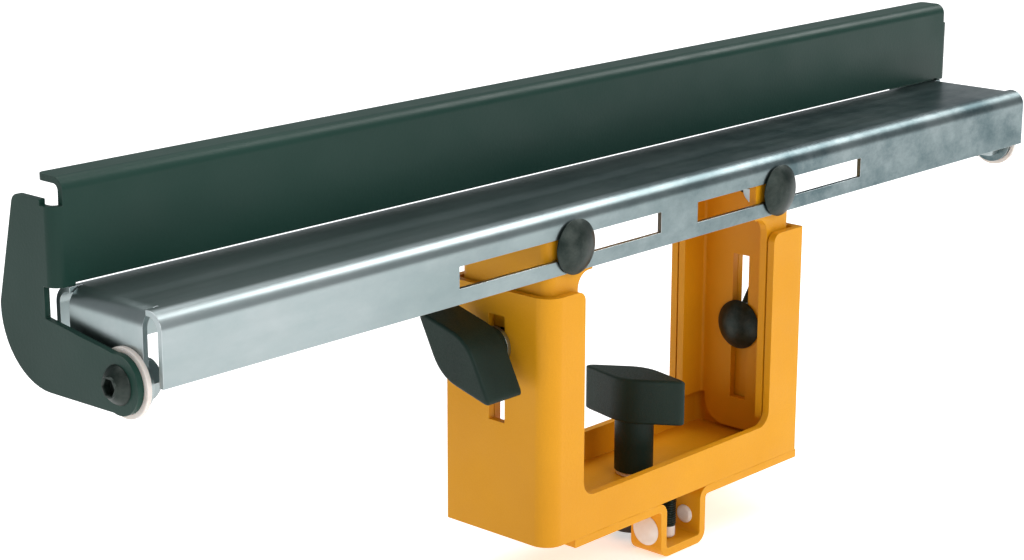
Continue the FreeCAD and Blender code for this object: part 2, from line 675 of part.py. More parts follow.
stop = new_body("stop_plate")
stop_section = [
    (stop_y, stop_z), (stop_y + arm_t, stop_z), (stop_y + arm_t, stop_top - arm_t),
    (lip_y, stop_top - arm_t), (lip_y, stop_top), (stop_y, stop_top),
]
plate_half = arm_out - stop_bend
extrude(stop, "YZ", middle - plate_half, middle + plate_half, polygon(stop_section))
round_edges(stop, "X", [(stop_y, stop_top)], stop_bend)
round_edges(stop, "X", [(stop_y + arm_t, stop_top - arm_t)], stop_bend - arm_t)
round_edges(stop, "Z", [(middle - plate_half, lip_y), (middle + plate_half, lip_y)], "lip_corner")
for way in (-1, 1):
    edge = middle + way * plate_half
    outside = middle + way * arm_out
    inside = middle + way * arm_in
    high_z = pivot_z + size("arm_top") - 1.5
    foot_in = edge - way * size("stop_foot")
    low_x, high_x = (edge, foot_in) if way < 0 else (foot_in, edge)
    extrude(stop, "XZ", stop_y, stop_y + arm_t,
            rectangle(low_x, high_x, top + face, stop_z + 1))
    root = edge - way
    corner = [(root, stop_y), (outside, stop_y), (outside, upright_y), (inside, upright_y),
              (inside, stop_y + arm_t), (root, stop_y + arm_t)]
    extrude(stop, "XY", top + face, high_z, polygon(corner))
    round_edges(stop, "Z", [(outside, stop_y)], stop_bend)
    round_edges(stop, "Z", [(inside, stop_y + arm_t)], stop_bend - arm_t)
    low_x, high_x = (outside, inside) if way < 0 else (inside, outside)
    heel_y = pivot_y + size("heel_back")
    heel_z = pivot_z - size("heel_low")
    lug = size("lug_radius")
    inner_z = pivot_z + size("arm_inside")
    shin = [
        (upright_y, pivot_z + size("arm_top")),
        (pivot_y + size("arm_top_back"), pivot_z + size("arm_top")),
        (heel_y, pivot_z + size("heel_radius") - size("heel_low") + 1.5),
        (heel_y, heel_z), (pivot_y, pivot_z - lug * 0.96), (pivot_y, pivot_z + lug * 0.96),
        (upright_y, inner_z),
    ]
    extrude(stop, "YZ", low_x, high_x, polygon(shin))
    round_edges(stop, "X", [(heel_y, heel_z)], "heel_radius")
    round_edges(stop, "X", [(pivot_y + size("arm_top_back"), pivot_z + size("arm_top"))],
                "arm_corner")
    extrude(stop, "YZ", low_x, high_x, disc(pivot_y, pivot_z, lug))
    cut_out(stop, "YZ", low_x - 0.5, high_x + 0.5,
            disc(pivot_y, pivot_z, size("bolt_radius") + face))

spacer = new_body("pivot_spacer")
extrude(spacer, "YZ", middle + end_x + 0.05, middle + end_x + 0.05 + size("spacer_thick"),
        ring(pivot_y, pivot_z, "spacer_radius", size("bolt_radius") + 0.1))
spacers = mirrored_pair("pivot_spacers", spacer, middle)

screw = new_body("pivot_screw")
shank_from = -arm_t - size("spacer_thick") - skin - size("nut_height") - 1.5
spin(screw, dome("pivot_head", 0, "pivot_dome"))
extrude(screw, "XY", shank_from, 0.5, disc(0, 0, "bolt_radius"))
cut_out(screw, "XY", size("pivot_dome") - 2.2, size("pivot_dome") + 1,
        polygon(hexagon(size(0), size(0), 4)))
place(screw, (middle + arm_out + 0.05, pivot_y, pivot_z), [((0, 1, 0), 90)])
screws = mirrored_pair("pivot_screws", screw, middle)


def pivot_nut_outline(sketch):
    draw_polygon(sketch, hexagon(pivot_y, pivot_z, "nut_flats"))
    draw_circle(sketch, pivot_y, pivot_z, "bolt_radius")


nut = new_body("pivot_nut")
nut_x = middle + end_x - skin
extrude(nut, "YZ", nut_x - size("nut_height"), nut_x, pivot_nut_outline)
nuts = mirrored_pair("pivot_nuts", nut, middle)


# ------------------------------------------------------- check and write out

pieces = [
    base, hook, buttons, guide, tip, bush, foot, stud, clamp_knob, clamp_ring,
    bracket, tray_bolts, tray_washers, tray_nuts,
] + lock_parts + [tray, stop, spacers, screws, nuts]

doc.recompute()
for thing in doc.Objects:
    if "Invalid" in thing.State or "Error" in thing.State:
        raise RuntimeError("%s is not right: %s" % (thing.Label, thing.State))
for piece in pieces:
    if piece.Shape.isNull() or not piece.Shape.isValid():
        raise RuntimeError(piece.Label + " has no sound shape")

os.makedirs("parts", exist_ok=True)
for piece in pieces:
    piece.Shape.exportStep("parts/%s.step" % piece.Label)
    box = piece.Shape.BoundBox
    print("%-18s solids %d  volume %9.1f  x %7.1f %7.1f  y %6.1f %6.1f  z %6.1f %6.1f" % (
        piece.Label, len(piece.Shape.Solids), piece.Shape.Volume,
        box.XMin, box.XMax, box.YMin, box.YMax, box.ZMin, box.ZMax))
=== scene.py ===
# %% [markdown]
# # A material support for a mitre saw stand
#
# The object is a small steel machine: a yellow box that stands on the beam of a saw
# stand, a bracket that slides up and down in it, a long zinc-plated tray bolted to the
# bracket, and a black stop that swings over the tray. Its sheet metal, screws, knobs and
# buttons are made here one after the other. The scene is in metres, with X along the
# tray, Y from its front to its rear and Z up. Small pieces are drawn upright in
# millimetres and then stood in their places.

# %% Load the frame
import math
import bmesh
import bpy
import numpy as np
from mathutils import Matrix, Vector


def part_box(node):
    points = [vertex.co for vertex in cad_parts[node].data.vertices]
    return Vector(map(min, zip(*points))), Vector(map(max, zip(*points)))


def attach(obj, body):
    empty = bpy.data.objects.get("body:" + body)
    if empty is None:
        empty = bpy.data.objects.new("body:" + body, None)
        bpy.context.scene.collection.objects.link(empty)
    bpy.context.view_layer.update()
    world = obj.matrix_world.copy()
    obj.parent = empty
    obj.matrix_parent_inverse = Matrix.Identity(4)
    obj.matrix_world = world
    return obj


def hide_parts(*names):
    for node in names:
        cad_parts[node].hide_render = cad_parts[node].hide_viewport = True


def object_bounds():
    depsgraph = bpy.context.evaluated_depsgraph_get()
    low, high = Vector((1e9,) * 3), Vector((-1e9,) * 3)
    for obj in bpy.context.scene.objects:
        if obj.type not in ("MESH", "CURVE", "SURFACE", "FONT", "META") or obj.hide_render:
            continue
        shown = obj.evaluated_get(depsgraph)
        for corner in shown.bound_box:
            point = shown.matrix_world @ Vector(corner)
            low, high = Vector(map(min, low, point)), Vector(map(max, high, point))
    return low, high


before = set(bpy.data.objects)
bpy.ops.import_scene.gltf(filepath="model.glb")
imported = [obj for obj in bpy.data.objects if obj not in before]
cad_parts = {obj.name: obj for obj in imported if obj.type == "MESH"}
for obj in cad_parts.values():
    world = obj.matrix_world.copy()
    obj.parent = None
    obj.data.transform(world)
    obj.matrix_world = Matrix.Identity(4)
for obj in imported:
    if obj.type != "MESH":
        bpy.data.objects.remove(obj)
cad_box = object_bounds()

MM = 0.001
TAU = 2.0 * math.pi

# %% [markdown]
# ## The camera
#
# A long lens held a little above the tray and off its left end makes the tray run away
# to the right with strong foreshortening. The camera's three axes are worked out from
# its heading, its tilt and a trace of roll, and become the columns of its matrix.

# %% Camera
HEADING = math.radians(47.88)     # from +Y towards +X
TILT = math.radians(15.16)        # below level
ROLL = math.radians(0.24)
CAMERA_PLACE = (-0.5459, -0.4486, 0.2588)
SENSOR_WIDTH, LENS_LENGTH = 36.0, 81.74
SHIFT_X, SHIFT_Y = -0.0132, -0.0015

level_right = Vector((math.cos(HEADING), -math.sin(HEADING), 0.0))
forward = Vector((math.sin(HEADING) * math.cos(TILT),
                  math.cos(HEADING) * math.cos(TILT), -math.sin(TILT)))
level_up = level_right.cross(forward)
right = level_right * math.cos(ROLL) + level_up * math.sin(ROLL)
up = right.cross(forward)

camera = bpy.data.objects.new("camera", bpy.data.cameras.new("camera"))
bpy.context.scene.collection.objects.link(camera)
camera.matrix_world = Matrix.Translation(CAMERA_PLACE) @ Matrix(
    (right, up, -forward)).transposed().to_4x4()
camera.data.sensor_width = SENSOR_WIDTH
camera.data.lens = LENS_LENGTH
camera.data.shift_x = SHIFT_X
camera.data.shift_y = SHIFT_Y
bpy.context.scene.camera = camera
bpy.context.scene.view_settings.view_transform = "Standard"
print("camera looks along", [round(c, 3) for c in forward])

# %% [markdown]
# ## Floor and light
#
# Polished zinc shows mostly what stands round it, so the light matters more than any
# texture. The room is bright and even, as in a photographer's tent. One long light high
# on the right draws the bright band along the tray's bend, and a broad one in front
# lights the yellow faces.

# %% Floor
FLOOR_GAP = 0.0002        # under the lowest point, so that no faces share a plane
FLOOR_HALF = 14.0
floor_z = cad_box[0][2] - FLOOR_GAP
corners = np.array([(-1, -1), (1, -1), (1, 1), (-1, 1)]) * FLOOR_HALF
floor_mesh = bpy.data.meshes.new("floor")
floor_mesh.from_pydata([(x, y, floor_z) for x, y in corners.tolist()], [], [(0, 1, 2, 3)])
floor = bpy.data.objects.new("floor", floor_mesh)
bpy.context.scene.collection.objects.link(floor)

floor_paint = bpy.data.materials.new("studio_floor")
floor_paint.use_nodes = True
floor_shader = floor_paint.node_tree.nodes["Principled BSDF"]
floor_shader.inputs["Base Color"].default_value = (0.90, 0.90, 0.90, 1.0)
floor_shader.inputs["Roughness"].default_value = 0.9
floor_shader.inputs["Emission Color"].default_value = (1.0, 1.0, 1.0, 1.0)
floor_shader.inputs["Emission Strength"].default_value = 0.52
floor_mesh.materials.append(floor_paint)
print("floor at z =", round(floor_z, 4))

# %% Lamps and the room


def soft_light(name, place, aim, width, height, watts):
    """A rectangular light at a place, turned so that its face looks at the aim."""
    lamp = bpy.data.lights.new(name, "AREA")
    lamp.shape = "RECTANGLE"
    lamp.size = width
    lamp.size_y = height
    lamp.energy = watts
    holder = bpy.data.objects.new(name, lamp)
    bpy.context.scene.collection.objects.link(holder)
    holder.location = place
    look = Vector(aim) - Vector(place)
    holder.rotation_euler = look.to_track_quat("-Z", "Y").to_euler()


soft_light("bend_light", (1.5, -0.35, 1.45), (0, 0, 0.08), 1.0, 0.9, 16)
soft_light("front_light", (-0.1, -1.9, 1.1), (0, 0, 0.05), 1.8, 1.2, 17)
soft_light("top_light", (0.2, 0.5, 2.0), (0, 0, 0.05), 1.6, 1.6, 22)

room = bpy.data.worlds.new("room")
room.use_nodes = True
room.node_tree.nodes["Background"].inputs["Color"].default_value = (0.95, 0.98, 1.0, 1.0)
room.node_tree.nodes["Background"].inputs["Strength"].default_value = 0.36
bpy.context.scene.world = room
print("three lamps and a pale room")

# %% [markdown]
# ## Finishes
#
# Each finish is one short function. A helper collects the nodes that all of them need:
# a pattern stretched in some direction, a curve that turns grey values into colours or
# roughness, and a bump. The patterns read Object coordinates, which are metres here, so
# a scale of 1000 gives grains about a millimetre wide.

# %% A helper for building finishes


class Finish:
    """A material and shorthand for the nodes that feed its shader."""

    def __init__(self, name, colour, roughness, metallic=0.0):
        self.material = bpy.data.materials.new(name)
        self.material.use_nodes = True
        self.nodes = self.material.node_tree.nodes
        self.links = self.material.node_tree.links
        self.shader = self.nodes["Principled BSDF"]
        self.shader.inputs["Base Color"].default_value = (*colour, 1.0)
        self.shader.inputs["Roughness"].default_value = roughness
        self.shader.inputs["Metallic"].default_value = metallic
        self.coordinates = self.nodes.new("ShaderNodeTexCoord").outputs["Object"]

    def grain(self, scale, stretch=(1.0, 1.0, 1.0), detail=3.0, roughness=0.5):
        """Noise whose grains are stretched along the axes by the given factors."""
        mapping = self.nodes.new("ShaderNodeMapping")
        mapping.inputs["Scale"].default_value = [scale / s for s in stretch]
        noise = self.nodes.new("ShaderNodeTexNoise")
        noise.inputs["Scale"].default_value = 1.0
        noise.inputs["Detail"].default_value = detail
        noise.inputs["Roughness"].default_value = roughness
        self.links.new(self.coordinates, mapping.inputs["Vector"])
        self.links.new(mapping.outputs["Vector"], noise.inputs["Vector"])
        return noise.outputs["Fac"]

    def ramp(self, value, low, high, start=0.35, stop=0.65):
        """Colour low below start, colour high above stop, and a blend between."""
        node = self.nodes.new("ShaderNodeValToRGB")
        marks = zip(node.color_ramp.elements, (start, stop), (low, high))
        for stopper, place, colour in marks:
            stopper.position = place
            stopper.color = (*colour, 1.0)
        self.links.new(value, node.inputs["Fac"])
        return node.outputs["Color"]

    def spread(self, value, low, high, start=0.3, stop=0.7):
        """A grey value moved into the range low to high."""
        node = self.nodes.new("ShaderNodeMapRange")
        node.inputs["From Min"].default_value = start
        node.inputs["From Max"].default_value = stop
        node.inputs["To Min"].default_value = low
        node.inputs["To Max"].default_value = high
        self.links.new(value, node.inputs["Value"])
        return node.outputs["Result"]

    def mix(self, factor, one, other):
        """The first colour where the factor is 0 and the second where it is 1."""
        node = self.nodes.new("ShaderNodeMix")
        node.data_type = "RGBA"
        sockets = (node.inputs[0], node.inputs[6], node.inputs[7])
        for socket, item in zip(sockets, (factor, one, other)):
            if isinstance(item, tuple):
                socket.default_value = (*item, 1.0)
            elif isinstance(item, float):
                socket.default_value = item
            else:
                self.links.new(item, socket)
        return node.outputs[2]

    def times(self, one, other):
        """Two grey values multiplied."""
        node = self.nodes.new("ShaderNodeMath")
        node.operation = "MULTIPLY"
        for socket, item in zip(node.inputs, (one, other)):
            if isinstance(item, float):
                socket.default_value = item
            else:
                self.links.new(item, socket)
        return node.outputs["Value"]

    def worn_edges(self):
        """1 along the crest of a softened edge and 0 on the faces beside it."""
        node = self.nodes.new("ShaderNodeAttribute")
        node.attribute_name = "edge_wear"
        return node.outputs["Fac"]

    def bump(self, *layers):
        """Height layers of (value, depth in metres, strength) stacked on one another."""
        normal = None
        for value, depth, strength in layers:
            node = self.nodes.new("ShaderNodeBump")
            node.inputs["Distance"].default_value = depth
            node.inputs["Strength"].default_value = strength
            self.links.new(value, node.inputs["Height"])
            if normal:
                self.links.new(normal, node.inputs["Normal"])
            normal = node.outputs["Normal"]
        self.links.new(normal, self.shader.inputs["Normal"])

    def colour(self, value):
        self.links.new(value, self.shader.inputs["Base Color"])

    def roughness(self, value):
        self.links.new(value, self.shader.inputs["Roughness"])


print("finish helper ready")

# %% [markdown]
# Powder coat is baked plastic dust: it has the faint skin of an orange, melts a little
# thin over edges, and collects a slight cloudiness in handling.

# %% Powder coat, orange-yellow


def powder_coat():
    coat = Finish("yellow_powder_coat", (0.80, 0.35, 0.015), 0.45)
    coat.shader.inputs["Specular IOR Level"].default_value = 0.20
    cloud = coat.grain(22, detail=4)
    skin = coat.grain(900, detail=2)
    speck = coat.grain(3200, detail=1)
    body = coat.ramp(cloud, (0.72, 0.305, 0.006), (0.80, 0.355, 0.009), 0.3, 0.7)
    body = coat.mix(coat.spread(speck, 0.0, 0.22), body, (0.60, 0.25, 0.008))
    patchy = coat.spread(coat.grain(160, detail=5), 0.0, 0.75, 0.40, 0.60)
    chips = coat.times(coat.worn_edges(), patchy)
    coat.colour(coat.mix(chips, body, (0.92, 0.50, 0.08)))
    coat.roughness(coat.spread(coat.grain(60, detail=4), 0.36, 0.52))
    coat.bump((skin, 0.0002, 0.35), (speck, 0.00006, 0.25))
    return coat.material


# %% [markdown]
# Zinc plating follows the steel's rolling marks: fine lines along the tray, a slight
# waviness that breaks up reflections, and cloudy stains. Towards its right-hand end the
# tray is darker and more mottled. This is painted shade: the mask along X mixes a darker
# colour in there, standing in for the darker surroundings that the zinc reflects at that
# end. It follows the object and stays put whichever side the tray is seen from.

# %% Zinc plating


def zinc_plating(name="zinc_plating", along=(60.0, 1.0, 1.0), low=0.30, high=0.37,
                 painted_shade_span=None):
    zinc = Finish(name, (0.42, 0.47, 0.48), 0.30, metallic=1.0)
    lines = zinc.grain(1500, along, detail=3)
    streak = zinc.grain(130, along, detail=5, roughness=0.6)
    stain = zinc.grain(26, (2.5, 1.0, 1.0), detail=5, roughness=0.62)
    body = zinc.ramp(stain, (0.26, 0.315, 0.31), (0.42, 0.465, 0.47), 0.30, 0.70)
    bath = zinc.grain(70, (1.6, 1.0, 1.0), detail=6, roughness=0.7)
    body = zinc.mix(zinc.spread(bath, 0.0, 0.55), body, (0.28, 0.35, 0.355))
    body = zinc.mix(zinc.spread(streak, 0.0, 0.25), body, (0.30, 0.36, 0.37))
    worn = zinc.times(zinc.worn_edges(), 0.5)
    # Painted shade: towards the tray's right-hand end a darker colour, broken by a mottle, is
    # mixed in to stand in for the darker surroundings the zinc reflects there.
    if painted_shade_span is not None:
        place = zinc.nodes.new("ShaderNodeSeparateXYZ")
        zinc.links.new(zinc.coordinates, place.inputs["Vector"])
        end = zinc.spread(place.outputs["X"], 0.0, 0.95, *painted_shade_span)
        mottle = zinc.spread(zinc.grain(48, (1.5, 1.0, 1.0), detail=6, roughness=0.72),
                             0.45, 1.0, 0.38, 0.62)
        body = zinc.mix(zinc.times(end, mottle), body, (0.062, 0.105, 0.115))
    zinc.colour(zinc.mix(worn, body, (0.80, 0.84, 0.85)))
    zinc.roughness(zinc.spread(streak, low, high))
    zinc.bump((lines, 0.00002, 0.05), (stain, 0.0004, 0.10))
    return zinc.material


# %% [markdown]
# The stop's black paint is half matt and slightly green in daylight. The blackened
# screws are darker and shinier, with a brown bloom, and the knobs are spark-textured
# nylon, which looks like very fine leather.

# %% Black paint, blackened steel and moulded plastic


def black_paint():
    paint = Finish("black_stop_paint", (0.011, 0.038, 0.029), 0.40)
    paint.shader.inputs["Specular IOR Level"].default_value = 0.22
    cloud = paint.grain(14, (3.0, 1.0, 1.0), detail=5)
    skin = paint.grain(1100, detail=2)
    body = paint.ramp(cloud, (0.005, 0.029, 0.021), (0.010, 0.046, 0.033), 0.3, 0.7)
    patchy = paint.spread(paint.grain(120, detail=5), 0.0, 0.7, 0.42, 0.62)
    rub = paint.times(paint.worn_edges(), patchy)
    paint.colour(paint.mix(rub, body, (0.11, 0.13, 0.12)))
    paint.roughness(paint.spread(paint.grain(45, detail=5), 0.33, 0.46))
    paint.bump((skin, 0.00012, 0.30))
    return paint.material


def blackened_steel():
    steel = Finish("blackened_steel", (0.030, 0.034, 0.034), 0.38, metallic=0.55)
    bloom = steel.grain(170, detail=5, roughness=0.65)
    grit = steel.grain(2600, detail=2)
    body = steel.ramp(bloom, (0.008, 0.018, 0.014), (0.045, 0.056, 0.048), 0.42, 0.72)
    rub = steel.times(steel.worn_edges(), 0.5)
    steel.colour(steel.mix(rub, body, (0.20, 0.21, 0.20)))
    steel.roughness(steel.spread(bloom, 0.30, 0.50))
    steel.bump((grit, 0.00005, 0.5), (bloom, 0.0001, 0.2))
    return steel.material


def moulded_black():
    nylon = Finish("moulded_black", (0.007, 0.021, 0.015), 0.48)
    nylon.shader.inputs["Specular IOR Level"].default_value = 0.25
    leather = nylon.grain(2000, detail=3, roughness=0.6)
    flow = nylon.grain(60, (1.0, 1.0, 3.0), detail=4)
    nylon.colour(nylon.ramp(flow, (0.005, 0.016, 0.011), (0.010, 0.027, 0.019), 0.3, 0.7))
    nylon.roughness(nylon.spread(leather, 0.40, 0.60))
    nylon.bump((leather, 0.00010, 0.55))
    return nylon.material


# %% Natural nylon, rubber and brass


def natural_nylon():
    nylon = Finish("natural_nylon", (0.80, 0.72, 0.66), 0.42)
    cloud = nylon.grain(220, detail=4)
    nylon.colour(nylon.ramp(cloud, (0.72, 0.64, 0.585), (0.84, 0.775, 0.725), 0.3, 0.7))
    nylon.shader.inputs["Subsurface Weight"].default_value = 0.25
    nylon.shader.inputs["Subsurface Radius"].default_value = (0.6, 0.5, 0.4)
    nylon.shader.inputs["Subsurface Scale"].default_value = 0.002
    nylon.roughness(nylon.spread(cloud, 0.36, 0.50))
    nylon.bump((nylon.grain(1800, detail=2), 0.00005, 0.3))
    return nylon.material


def foot_rubber():
    rubber = Finish("foot_rubber", (0.022, 0.022, 0.022), 0.75)
    dust = rubber.grain(300, detail=5)
    rubber.colour(rubber.ramp(dust, (0.015, 0.015, 0.015), (0.045, 0.042, 0.038), 0.4, 0.75))
    rubber.roughness(rubber.spread(dust, 0.65, 0.85))
    rubber.bump((rubber.grain(2400, detail=2), 0.00008, 0.4))
    return rubber.material


def turned_brass():
    brass = Finish("turned_brass", (0.72, 0.52, 0.22), 0.28, metallic=1.0)
    tarnish = brass.grain(240, detail=5)
    brass.colour(brass.ramp(tarnish, (0.50, 0.34, 0.13), (0.80, 0.60, 0.28), 0.3, 0.7))
    brass.roughness(brass.spread(tarnish, 0.22, 0.42))
    brass.bump((brass.grain(2800, detail=2), 0.00004, 0.3))
    return brass.material


# Where along the tray the painted shade on the zinc begins, and where it is full.
PAINTED_SHADE_START, PAINTED_SHADE_FULL = -0.16, 0.06     # along the tray

YELLOW = powder_coat()
ZINC = zinc_plating(painted_shade_span=(PAINTED_SHADE_START, PAINTED_SHADE_FULL))
BRIGHT_ZINC = zinc_plating("zinc_hardware", (1.0, 1.0, 1.0), 0.24, 0.42)
PAINT = black_paint()
STEEL = blackened_steel()
PLASTIC = moulded_black()
NYLON = natural_nylon()
RUBBER = foot_rubber()
BRASS = turned_brass()
print("nine finishes made")

# %% [markdown]
# ## From arrays to meshes
#
# Most pieces here are surfaces written as arrays: row after row of points, each row one
# trip round the piece. Neighbouring rows are joined by four-sided faces, and the first
# and last rows are closed by a fan to a point. A piece can hold several such skins.

# %% Skins, pieces and their edges
SMOOTH_UNDER = math.radians(32)


def skin_faces(rows, around, offset):
    """Quads between rows of points, then a fan from each end row to its own centre."""
    low = offset + (np.arange(rows - 1)[:, None] * around + np.arange(around)[None, :])
    beside = offset + (np.arange(rows - 1)[:, None] * around
                       + (np.arange(around)[None, :] + 1) % around)
    quads = np.stack([low, beside, beside + around, low + around], axis=-1).reshape(-1, 4)
    ring = np.arange(around)
    last = offset + (rows - 1) * around
    first_centre = offset + rows * around
    bottom = np.stack([offset + (ring + 1) % around, offset + ring,
                       np.full(around, first_centre)], axis=-1)
    top = np.stack([last + ring, last + (ring + 1) % around,
                    np.full(around, first_centre + 1)], axis=-1)
    return quads.tolist() + bottom.tolist() + top.tolist()


def looped_faces(rows, around):
    """Quads between rows of points, where the last row joins the first again."""
    row, place = np.arange(rows)[:, None], np.arange(around)[None, :]
    here, above = row * around, (row + 1) % rows * around
    beside = (place + 1) % around
    return np.stack([here + place, here + beside, above + beside, above + place],
                    axis=-1).reshape(-1, 4).tolist()


def enclosed_volume(points, faces):
    """Sum over faces of corner . (next x last) / 6: positive when faces point outwards."""
    total = 0.0
    for count in (3, 4):
        chosen = np.array([f for f in faces if len(f) == count])
        if len(chosen):
            for k in range(1, count - 1):
                a, b, c = (points[chosen[:, i]] for i in (0, k, k + 1))
                total += float(np.einsum("ij,ij->i", a, np.cross(b, c)).sum()) / 6.0
    return total


def make_piece(name, skins, finish, body, node, looped=False):
    """One object from closed skins, each an array of rows x points x 3."""
    points, faces, offset = [], [], 0
    for rows in skins:
        count, around, _ = rows.shape
        part = rows.reshape(-1, 3)
        if looped:
            joined = looped_faces(count, around)
        else:
            part = np.concatenate([part, [rows[0].mean(0), rows[-1].mean(0)]])
            joined = skin_faces(count, around, 0)
        if enclosed_volume(part - part.mean(0), joined) < 0:
            joined = [face[::-1] for face in joined]
        faces += [[corner + offset for corner in face] for face in joined]
        points.append(part)
        offset += len(part)
    mesh = bpy.data.meshes.new(name)
    mesh.from_pydata(np.concatenate(points).tolist(), [], faces)
    return finish_piece(name, mesh, finish, body, node)


def finish_piece(name, mesh, finish, body, node):
    """Smooth the shading, give the finish, and tie the piece to the frame.

    Each corner's normal is the mean of its faces' normals weighted by their areas, so a
    wide flat face keeps its own and the thin rounding beside it does all the bending.
    """
    mesh.validate()
    mesh.polygons.foreach_set("use_smooth", np.ones(len(mesh.polygons), bool))
    mesh.set_sharp_from_angle(angle=SMOOTH_UNDER)
    mesh.materials.append(finish)
    piece = bpy.data.objects.new(name, mesh)
    bpy.context.scene.collection.objects.link(piece)
    weighted = piece.modifiers.new("flat_faces_stay_flat", "WEIGHTED_NORMAL")
    weighted.keep_sharp = True
    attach(piece, body)
    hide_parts(node)
    print(name, "has", len(mesh.polygons), "faces")
    return piece


# %% Placing a piece that was drawn upright


def stand(rows, foot, axis, across=None):
    """Points drawn in millimetres, moved so that their Z runs along axis from the foot."""
    rows = rows * MM
    axis = np.array(axis, float)
    axis /= np.linalg.norm(axis)
    if across is None:
        across = (0.0, 1.0, 0.0) if abs(axis[0]) > 0.5 else (1.0, 0.0, 0.0)
    across = np.array(across, float)
    across -= axis * across.dot(axis)
    across /= np.linalg.norm(across)
    third = np.cross(axis, across)
    return (np.array(foot) + rows[..., :1] * across + rows[..., 1:2] * third
            + rows[..., 2:] * axis)


def lowest_highest(node):
    """The corners of the node's own box, as arrays."""
    low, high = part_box(node)
    return np.array(low), np.array(high)


def vertices_of(node):
    """The node's points, one row each."""
    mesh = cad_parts[node].data
    flat = np.zeros(len(mesh.vertices) * 3, np.float32)
    mesh.vertices.foreach_get("co", flat)
    return flat.reshape(-1, 3).astype(float)


# %% [markdown]
# ## Turned shapes
#
# A washer, a button, a rubber foot or the head of a screw is a profile carried once
# round an axis. The corners of a turned profile are never truly sharp, so a helper cuts
# each corner back and fills it with a small arc.

# %% Profiles with softened corners
AROUND = 72


def soften(corners, radius, steps=4, closed=False):
    """Replace each corner by a quadratic curve that starts and ends radius away from it.

    The curve is (1-t)^2 A + 2t(1-t) corner + t^2 B, with A and B on the two sides.
    """
    corners = np.array(corners, float)
    count = len(corners)
    radii = np.full(count, radius) if np.isscalar(radius) else np.array(radius, float)
    before = np.roll(corners, 1, axis=0) - corners
    after = np.roll(corners, -1, axis=0) - corners
    long_before = np.linalg.norm(before, axis=1)
    long_after = np.linalg.norm(after, axis=1)
    reach = np.minimum(radii, 0.49 * np.minimum(long_before, long_after))
    if not closed:
        reach[[0, -1]] = 0.0
    start = corners + before * (reach / long_before)[:, None]
    stop = corners + after * (reach / long_after)[:, None]
    t = np.linspace(0.0, 1.0, steps + 1)[None, :, None]
    curve = ((1 - t) ** 2 * start[:, None] + 2 * t * (1 - t) * corners[:, None]
             + t ** 2 * stop[:, None])
    flat = curve.reshape(-1, 2)
    keep = np.ones(len(flat), bool)
    keep[1:] = np.linalg.norm(np.diff(flat, axis=0), axis=1) > 1e-7
    return flat[keep]


def turned(profile, around=AROUND):
    """Carry (radius, height) pairs round Z: x = r cos a, y = r sin a, z = height."""
    profile = np.array(profile, float)
    angle = np.arange(around) * TAU / around
    radius = profile[:, :1]
    return np.stack([radius * np.cos(angle), radius * np.sin(angle),
                     np.repeat(profile[:, 1:], around, axis=1)], axis=-1)


def dome_profile(radius, height, start=0.0, steps=14, lip=0.0):
    """An arc of a ball from the rim up to the crown, above an upright lip."""
    ball = (radius ** 2 + (height - lip) ** 2) / (2 * (height - lip))
    reach = math.asin(min(1.0, radius / ball))
    angle = np.linspace(reach, 0.012, steps)
    high = start + height - ball * (1 - np.cos(angle))
    return np.stack([ball * np.sin(angle), high], axis=-1)


def turned_ring(inner, outer, high, soft):
    """A washer: a rectangle with softened corners, carried round the hole."""
    return turned(soften([(inner, 0), (outer, 0), (outer, high), (inner, high)], soft,
                         closed=True))


print("turned shapes ready")

# %% [markdown]
# ## Screw threads
#
# A thread's surface is a rod whose radius depends on height and angle together: it falls
# from the crest to the root and back once per pitch, and the whole wave climbs by one
# pitch in each turn. Near an end the wave fades out and the rod is chamfered.

# %% Threaded rods


def threaded(radius, pitch, start, stop, around=36, per_pitch=6):
    """r(a, z) = radius - depth * wave(z / pitch - a / 2 pi), with a triangle wave."""
    depth = 0.61 * pitch
    rows = max(8, int(round((stop - start) / pitch * per_pitch)))
    z = np.linspace(start, stop, rows + 1)[:, None]
    angle = (np.arange(around) * TAU / around)[None, :]
    turn = z / pitch - angle / TAU
    wave = np.abs(2.0 * (turn - np.floor(turn)) - 1.0)
    fade = np.clip(np.minimum(z - start, stop - z) / pitch, 0.0, 1.0)
    groove = np.clip(1.15 * wave - 0.08, 0.0, 1.0)
    r = radius - depth * groove * fade - 0.55 * depth * (1 - fade)
    return np.stack([r * np.cos(angle), r * np.sin(angle), np.broadcast_to(z, r.shape)],
                    axis=-1)


print("thread surface ready")

# %% [markdown]
# ## Sheet metal
#
# The box, the hook, the bracket, the tray and the stop are cut and bent sheets with
# windows, slots and lugs. The frame already holds their exact shapes, so they start as
# copies of it. What makes a sheet look real is its edge: punched, tumbled and painted
# edges are never sharp. The copy's loose triangles are merged, flat areas become whole
# faces again, and every sharp edge is bevelled by a fraction of a millimetre. The
# vertices on a bevel's crest are marked, so that a finish can wear there.

# %% Softened copies of the sheet metal
SHARP_OVER = math.radians(38)
FLAT_UNDER = math.radians(0.4)


def merged_copy(node):
    """The node's triangles sewn together, with flat areas dissolved into whole faces."""
    shape = bmesh.new()
    shape.from_mesh(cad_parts[node].data)
    bmesh.ops.remove_doubles(shape, verts=shape.verts, dist=2e-6)
    bmesh.ops.dissolve_limit(shape, angle_limit=FLAT_UNDER, verts=shape.verts,
                             edges=shape.edges, delimit=set())
    return shape


STEEL_EDGE, TRAY_EDGE = 0.3 * MM, 0.2 * MM


